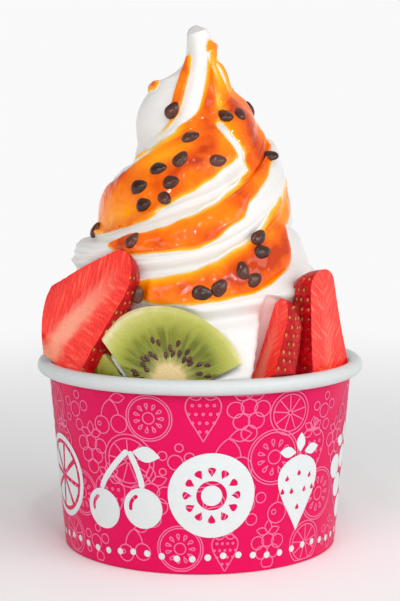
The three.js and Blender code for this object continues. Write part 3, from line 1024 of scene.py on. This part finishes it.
MOTIFS = (citrus_lines, cluster_lines, strawberry_lines, slice_lines, cherry_lines, bubble_lines)


def make_line_print():
    """Thin line drawings of fruit, all round the wall."""
    lines = []
    for row, (height, size) in enumerate(LINE_ROWS):
        for step in range(LINES_PER_ROW):
            share = (step + 0.5 * (row % 2) + random.uniform(-0.1, 0.1)) / LINES_PER_ROW
            motif = MOTIFS[(step * 5 + row * 2) % len(MOTIFS)]
            y = height + random.uniform(-0.8, 0.8)
            lines += motif((share - 0.5) * PRINT_SPAN, y, size * random.uniform(0.85, 1.1))
    for places, _ in lines:
        places[:, 1] = np.clip(places[:, 1], 0.8, WALL_TOP - 0.4)
    piece = drawn("print_lines", lines, dimensions="3D", bevel_depth=LINE_HALF_WIDTH, bevel_resolution=0)
    return finish_faces(wrap_round(settle(piece, "print_lines"), 0.02, 0.25))


def stroke(places, width):
    """A bold line with round ends."""
    places = np.array(places, float)
    way = np.gradient(places, axis=0)
    way /= np.linalg.norm(way, axis=1, keepdims=True)
    side = np.stack([-way[:, 1], way[:, 0]], 1) * width / 2
    start = math.degrees(math.atan2(side[0, 1], side[0, 0]))
    end = math.degrees(math.atan2(-side[-1, 1], -side[-1, 0]))
    first = arc(*places[0], width / 2, start, start + 180, 8)[0]
    last = arc(*places[-1], width / 2, end, end + 180, 8)[0]
    return np.concatenate([first, (places - side)[1:-1], last, (places + side)[-2:0:-1]]), True


def wedge(x, y, inner, outer, way, spread):
    """One segment of a citrus wheel, with its point towards the middle."""
    rim = arc(x, y, outer, way - spread, way + spread, 9)[0]
    tip = [(x + inner * math.cos(math.radians(way)), y + inner * math.sin(math.radians(way)))]
    return np.concatenate([rim, tip]), True


# Each bold fruit is a list of groups of shapes; within a group, a shape inside another is a hole.

def bold_strawberry(x, y):
    at = ((-4.2, 3.2), (0, 4.4), (4.2, 3.2), (-2.4, -0.6), (2.4, -0.6), (0, -5.4), (-5.6, -0.4), (5.6, -0.4))
    seeds = [drop(x + dx, y + dy, 0.95, 90, 0.8) for dx, dy in at]
    leaves = [[leaf(x + dx, y + 10.2, 5.6, way)] for dx, way in ((1.6, 8), (0, 90), (-1.6, 172))]
    return [[berry_outline(x, y - 1.5, 11)] + seeds] + leaves


def bold_citrus(x, y):
    segments = [[wedge(x, y, 1.6, 9.2, 45 * step + 12, 18)] for step in range(8)]
    return [[circle(x, y, 12, 64), circle(x, y, 10.4, 60)]] + segments


def bold_cherries(x, y):
    share = np.linspace(0, 1, 10)
    left = np.stack([x - 6 + 8.5 * share, y + 0.6 + 10.5 * share ** 0.8], 1)
    right = np.stack([x + 7 - 3 * share ** 1.4, y + 2.2 + 8.6 * share], 1)
    fruit = [[circle(cx, cy, 5.8, 48), stroke(arc(cx, cy, 3.7, 120, 185, 8)[0], 1.1)]
             for cx, cy in ((x - 6.2, y - 6), (x + 7, y - 4.4))]
    return fruit + [[stroke(left, 1.7)], [stroke(right, 1.7)], [leaf(x + 4.6, y + 11.6, 8.0, -8)]]


def bold_kiwi(x, y):
    seeds = [drop(seed_x, seed_y, 1.35, math.degrees(way) + 180, 0.9)
             for seed_x, seed_y, way in ring_of(x, y, 6.6, 12)]
    return [[circle(x, y, 12, 64), circle(x, y, 4.2, 32)] + seeds, [circle(x, y, 2.9, 28)]]


def bold_cluster(x, y):
    grapes = ((-7.2, 2.6), (0, 4.2), (7.2, 2.6), (-3.8, -3.6), (3.8, -3.6), (0, -10.6))
    fruit = [[circle(x + dx, y + dy, 3.5, 30)] for dx, dy in grapes]
    return fruit + [[leaf(x + dx, y + 8.6, 6.0, way)] for dx, way in ((1.4, 20), (0, 90), (-1.4, 160))]


BOLD = (bold_kiwi, bold_strawberry, bold_cluster, bold_citrus, bold_cherries)


def make_bold_print():
    """Large white fruit round the wall and a row of white dots under them."""
    count = 2 * len(BOLD)
    groups = []
    for step in range(count):
        x = ((step + 0.12) / count - 0.5) * PRINT_SPAN
        groups += BOLD[step % len(BOLD)](x, BOLD_HEIGHT)
    dots = []
    for step in range(DOTS):
        x = ((step + 0.5) / DOTS - 0.5) * PRINT_SPAN
        dots.append(circle(x, DOT_HEIGHT + 0.5 * math.sin(TURN * step / 6), DOT_RADIUS, 16))
    pieces = [drawn("shapes", group, dimensions="2D", fill_mode="BOTH") for group in groups + [dots]]
    piece = join(pieces, "print_fruit")
    # cuts across the print, so that it bends round the wall and steps at the seam
    seam = -PRINT_SPAN / 2
    edit(piece)
    for place in (seam - 0.5, *np.arange(seam - 8 * BEND_STEP, -seam, BEND_STEP)):
        bpy.ops.mesh.select_all(action="SELECT")
        bpy.ops.mesh.bisect(plane_co=(place, 0, 0), plane_no=(1, 0, 0))
    bpy.ops.object.mode_set(mode="OBJECT")
    wrap_round(piece, 0.05)
    apply_modifier(piece, "SOLIDIFY", thickness=0.06 * MM, offset=1)
    return finish_faces(piece, angle=40)


# ---------------------------------------------------------------- paints

def yogurt_paint():
    paint = Paint("soft serve", Roughness=0.36, Subsurface_Weight=0.18, Subsurface_Scale=0.004)
    paint.shader.inputs["Subsurface Radius"].default_value = (1.0, 0.8, 0.6)
    place = paint.place()
    tone = paint.noise(place, 60.0)
    paint.set("Base Color", paint.ramp(tone, (0.3, (0.75, 0.725, 0.70)), (0.7, (0.78, 0.76, 0.74))))
    paint.bump(paint.noise(place, 900.0, 4.0), 0.0002, 0.25)
    return paint


def sauce_paint():
    # The emission strength below is a painted glow: the sauce sends out its own colour as light, standing in
    # for light that comes through it from the yogurt beneath.
    paint = Paint("passion fruit sauce", Roughness=0.035, Specular_IOR_Level=0.3, Subsurface_Weight=0.15,
                  Subsurface_Scale=0.003, Emission_Strength=0.12)
    paint.shader.inputs["Subsurface Radius"].default_value = (1.0, 0.4, 0.05)
    place = paint.place()
    patches = paint.noise(place, 110.0, 4.0) - 0.5
    clouds = paint.noise(place, 38.0, 1.0) - 0.5
    grain = paint.noise(place, 330.0, 3.0) - 0.5
    depth = paint.attribute("depth", out=2) * (0.81 + patches * 0.65) + clouds * 0.48 + grain * 0.16 - 0.06
    colour = paint.ramp(depth,
                        (0.0, (0.74, 0.70, 0.62)), (0.07, (0.74, 0.58, 0.34)), (0.16, (0.84, 0.44, 0.07)),
                        (0.30, (0.92, 0.38, 0.005)), (0.52, (0.93, 0.28, 0.0)), (0.70, (0.92, 0.20, 0.0)),
                        (0.88, (0.76, 0.10, 0.0)), (1.0, (0.50, 0.04, 0.0)))
    paint.set("Base Color", colour)
    # painted glow: the sauce's colour is also sent out as light
    paint.set("Emission Color", colour)
    paint.bump(paint.noise(place, 170.0, 2.0), 0.0018, 0.6)
    return paint


def strawberry_paint(size, length):
    # The emission strength below is a painted glow: the berry sends out its own colour as light, so that it
    # looks more brightly lit.
    paint = Paint("strawberry", Roughness=0.32, Specular_IOR_Level=0.12, Coat_Weight=0.16,
                  Coat_Roughness=0.05, Subsurface_Weight=0.05, Subsurface_Scale=0.003, Emission_Strength=0.16)
    paint.shader.inputs["Subsurface Radius"].default_value = (1.0, 0.25, 0.2)
    local = paint.attribute("local")
    x, y, z = paint.split(local)
    on_cut = z.above(-0.12, -0.02)
    along_way = y / length
    off_axis = abs(x) / size["wide"]
    wobble = paint.noise(paint.join(x * 0.35, y * 0.12, 0.0), 1.0, 2.0) - 0.5
    ray = paint.noise(paint.join(x * 0.14, (y - abs(x) * 0.7) * 0.75, 0.0), 1.0, 3.0)
    core = (1.0 - (off_axis + wobble * 0.25).above(0.05, 0.34)) * (1.0 - along_way.above(0.35, 0.95))
    flesh = paint.ramp(ray, (0.38, (0.82, 0.012, 0.006)), (0.55, (0.93, 0.03, 0.014)),
                       (0.68, (1.0, 0.13, 0.08)))
    edge = paint.mix((off_axis + wobble * 0.2).above(0.6, 0.98), flesh, (0.72, 0.006, 0.006))
    cut = paint.mix(core * size["core"], edge, (0.90, 0.42, 0.27))
    skin = paint.ramp(paint.noise(local, 0.3), (0.35, (0.30, 0.002, 0.004)), (0.65, (0.50, 0.003, 0.008)))
    colour = paint.mix(on_cut, skin, cut)
    paint.set("Base Color", colour)
    # painted glow: the berry's colour, cut and skin, is also sent out as light
    paint.set("Emission Color", colour)
    paint.bump(paint.noise(local, 0.9, 3.0), 0.0008, 0.5)
    return paint


def achene_paint():
    paint = Paint("strawberry seeds", Roughness=0.35)
    tone = paint.noise(paint.place(), 700.0)
    paint.set("Base Color", paint.ramp(tone, (0.3, (0.42, 0.16, 0.02)), (0.7, (0.62, 0.36, 0.05))))
    return paint


def kiwi_paint(size):
    paint = Paint("kiwi flesh", Roughness=0.3, Specular_IOR_Level=0.3, Coat_Weight=0.1, Coat_Roughness=0.08,
                  Subsurface_Weight=0.12, Subsurface_Scale=0.003)
    paint.shader.inputs["Subsurface Radius"].default_value = (0.7, 1.0, 0.2)
    local = paint.attribute("local")
    x, y, _ = paint.split(local)
    reach = ((x * x + y * y) ** 0.5) / size["radius"]
    angle = x.maths("ARCTAN2", y, x)
    ray = paint.noise(paint.join(angle * 7.0, reach * 1.2, 0.0), 1.0, 2.0)
    wobble = paint.noise(local, 0.25, 2.0) - 0.5
    zone = reach + (ray - 0.5) * 0.10 + wobble * 0.08
    base = paint.ramp(zone, (0.0, (0.76, 0.58, 0.30)), (0.20, (0.74, 0.56, 0.27)), (0.27, (0.36, 0.33, 0.09)),
                      (0.40, (0.21, 0.22, 0.025)), (0.62, (0.26, 0.275, 0.024)), (0.80, (0.40, 0.41, 0.065)),
                      (0.93, (0.54, 0.52, 0.15)), (1.0, (0.70, 0.64, 0.34)))
    dark = ray.above(0.42, 0.60) * zone.above(0.24, 0.36) * (1.0 - zone.above(0.60, 0.80))
    paint.set("Base Color", paint.mix(dark * 0.75, base, (0.10, 0.12, 0.006)))
    paint.bump(paint.noise(local, 1.6, 3.0), 0.0005, 0.45)
    return paint


def seed_paint(name, patches, dark, light):
    paint = Paint(name, Roughness=0.2, Specular_IOR_Level=0.3, Coat_Weight=0.3, Coat_Roughness=0.05)
    place = paint.place()
    paint.set("Base Color", paint.ramp(paint.noise(place, patches), (0.35, dark), (0.65, light)))
    paint.bump(paint.noise(place, 1400.0, 2.0), 0.0002, 0.5)
    return paint


def print_paint():
    paint = Paint("pink print", Roughness=0.42, Specular_IOR_Level=0.15)
    place = paint.place()
    tone = paint.noise(place, 1600.0, 2.0)
    paint.set("Base Color", paint.ramp(tone, (0.3, (0.70, 0.0, 0.085)), (0.7, (0.74, 0.0, 0.1))))
    paint.bump(paint.noise(place, 2200.0, 3.0), 0.0001, 0.2)
    return paint


def paper_paint(name, colour):
    paint = Paint(name, Roughness=0.45)
    place = paint.place()
    tone = paint.noise(place, 900.0, 3.0)
    paint.set("Base Color", paint.ramp(tone, (0.3, tuple(0.96 * c for c in colour)), (0.7, colour)))
    paint.bump(paint.noise(place, 1800.0, 3.0), 0.0001, 0.2)
    return paint


# ---------------------------------------------------------------- assembly

dress(make_yogurt(), yogurt_paint(), "yogurt", "yogurt")
dress(make_sauce(), sauce_paint(), "sauce")
dark_seeds = seed_paint("passion fruit seeds", 150.0, (0.03, 0.007, 0.003), (0.11, 0.028, 0.014))
dress(make_passion_seeds(), dark_seeds, "passion_seed")

achenes = achene_paint()
for name, size in BERRIES.items():
    berry, seeds, axes, at = make_berry(name + "_half", size)
    dress(berry, strawberry_paint(size, berry_frame(size)[2]), "strawberry", name)
    dress(make_achenes(name + "_seeds", seeds, axes, at), achenes, "strawberry")

for name, size in KIWIS.items():
    slab, axes, at = make_kiwi(name + "_slice", size)
    dress(slab, kiwi_paint(size), "kiwi", name)
    if name == "kiwi_front":
        small_seeds = seed_paint("kiwi seeds", 500.0, (0.05, 0.012, 0.01), (0.12, 0.03, 0.025))
        dress(make_kiwi_seeds(size, axes, at), small_seeds, "kiwi")

dress(make_wall(), print_paint(), "printed_paper", "cup_wall")
white_paper = paper_paint("white paper", (0.62, 0.65, 0.65))
dress(make_rim(), white_paper, "white_paper")
dress(make_line_print(), paper_paint("light pink print", (0.95, 0.17, 0.36)), "printed_paper")
dress(make_bold_print(), paper_paint("white print", (0.72, 0.76, 0.76)), "printed_paper")
dress(make_base(), white_paper, "white_paper", "cup_base")

# ---------------------------------------------------------------- stage, light and camera

def softbox(name, place, aim_height, size, power):
    bpy.ops.object.light_add(type="AREA", location=place)
    light = bpy.context.object
    light.name = name
    light.data.shape = "RECTANGLE"
    light.data.size, light.data.size_y = size
    light.data.energy = power
    aim = Vector((0, 0, aim_height)) - Vector(place)
    light.rotation_euler = aim.to_track_quat("-Z", "Y").to_euler()


clear_selection()
bpy.ops.mesh.primitive_plane_add(size=6, location=(0, 0, -0.0002))
floor = bpy.context.object
floor.name = "floor"
floor_paint = Paint("floor", Roughness=0.7, Specular_IOR_Level=0.1)
floor_paint.shader.inputs["Base Color"].default_value = (0.95, 0.95, 0.95, 1)
floor_x, floor_y, _ = floor_paint.split(floor_paint.place())
floor_paint.set("Alpha", 1.0 - ((floor_x * floor_x + floor_y * floor_y) ** 0.5).above(0.08, 0.5))
floor.data.materials.append(floor_paint.material)

softbox("key", (0.66, -0.44, 0.46), 0.08, (0.55, 0.42), 2.2)
softbox("fill", (-0.5, -0.62, 0.42), 0.08, (0.4, 0.3), 1.0)
softbox("glint right", (0.35, -0.6, 0.5), 0.1, (0.08, 0.035), 0.6)
softbox("glint high", (0.05, -0.45, 0.75), 0.1, (0.06, 0.05), 0.6)
softbox("glint low", (0.18, -0.7, 0.26), 0.1, (0.05, 0.03), 0.3)
softbox("glint front", (-0.12, -0.6, 0.6), 0.1, (0.05, 0.03), 0.3)
softbox("glint left", (-0.3, -0.65, 0.4), 0.1, (0.04, 0.06), 0.35)

# the room: bright along the horizon, soft above it and dimmer at the left
world = bpy.data.worlds.new("studio")
world.use_nodes = True
bpy.context.scene.world = world
nodes, links = world.node_tree.nodes, world.node_tree.links
direction = nodes.new("ShaderNodeTexCoord")
split = nodes.new("ShaderNodeSeparateXYZ")
links.new(direction.outputs["Generated"], split.inputs[0])
side = nodes.new("ShaderNodeMapRange")
links.new(split.outputs["X"], side.inputs["Value"])
for socket, value in (("From Min", -1.0), ("From Max", 0.5), ("To Min", 0.25), ("To Max", 0.62)):
    side.inputs[socket].default_value = value
level = nodes.new("ShaderNodeMapRange")
links.new(split.outputs["Z"], level.inputs["Value"])
links.new(side.outputs["Result"], level.inputs["To Max"])
for socket, value in (("From Min", 0.1), ("From Max", 0.3), ("To Min", 0.95)):
    level.inputs[socket].default_value = value
links.new(level.outputs["Result"], nodes["Background"].inputs["Strength"])
nodes["Background"].inputs["Color"].default_value = (1, 1, 1, 1)

bpy.context.scene.view_settings.view_transform = "Standard"

camera_data = bpy.data.cameras.new("camera")
camera_data.lens = CAMERA_LENS
camera_data.sensor_width = 36
camera_data.clip_start = 0.01
camera = bpy.data.objects.new("camera", camera_data)
camera.location = (0, -CAMERA_DISTANCE, CAMERA_HEIGHT)
camera.rotation_euler = (math.pi / 2 - CAMERA_PITCH, 0, 0)
bpy.context.scene.collection.objects.link(camera)
bpy.context.scene.camera = camera
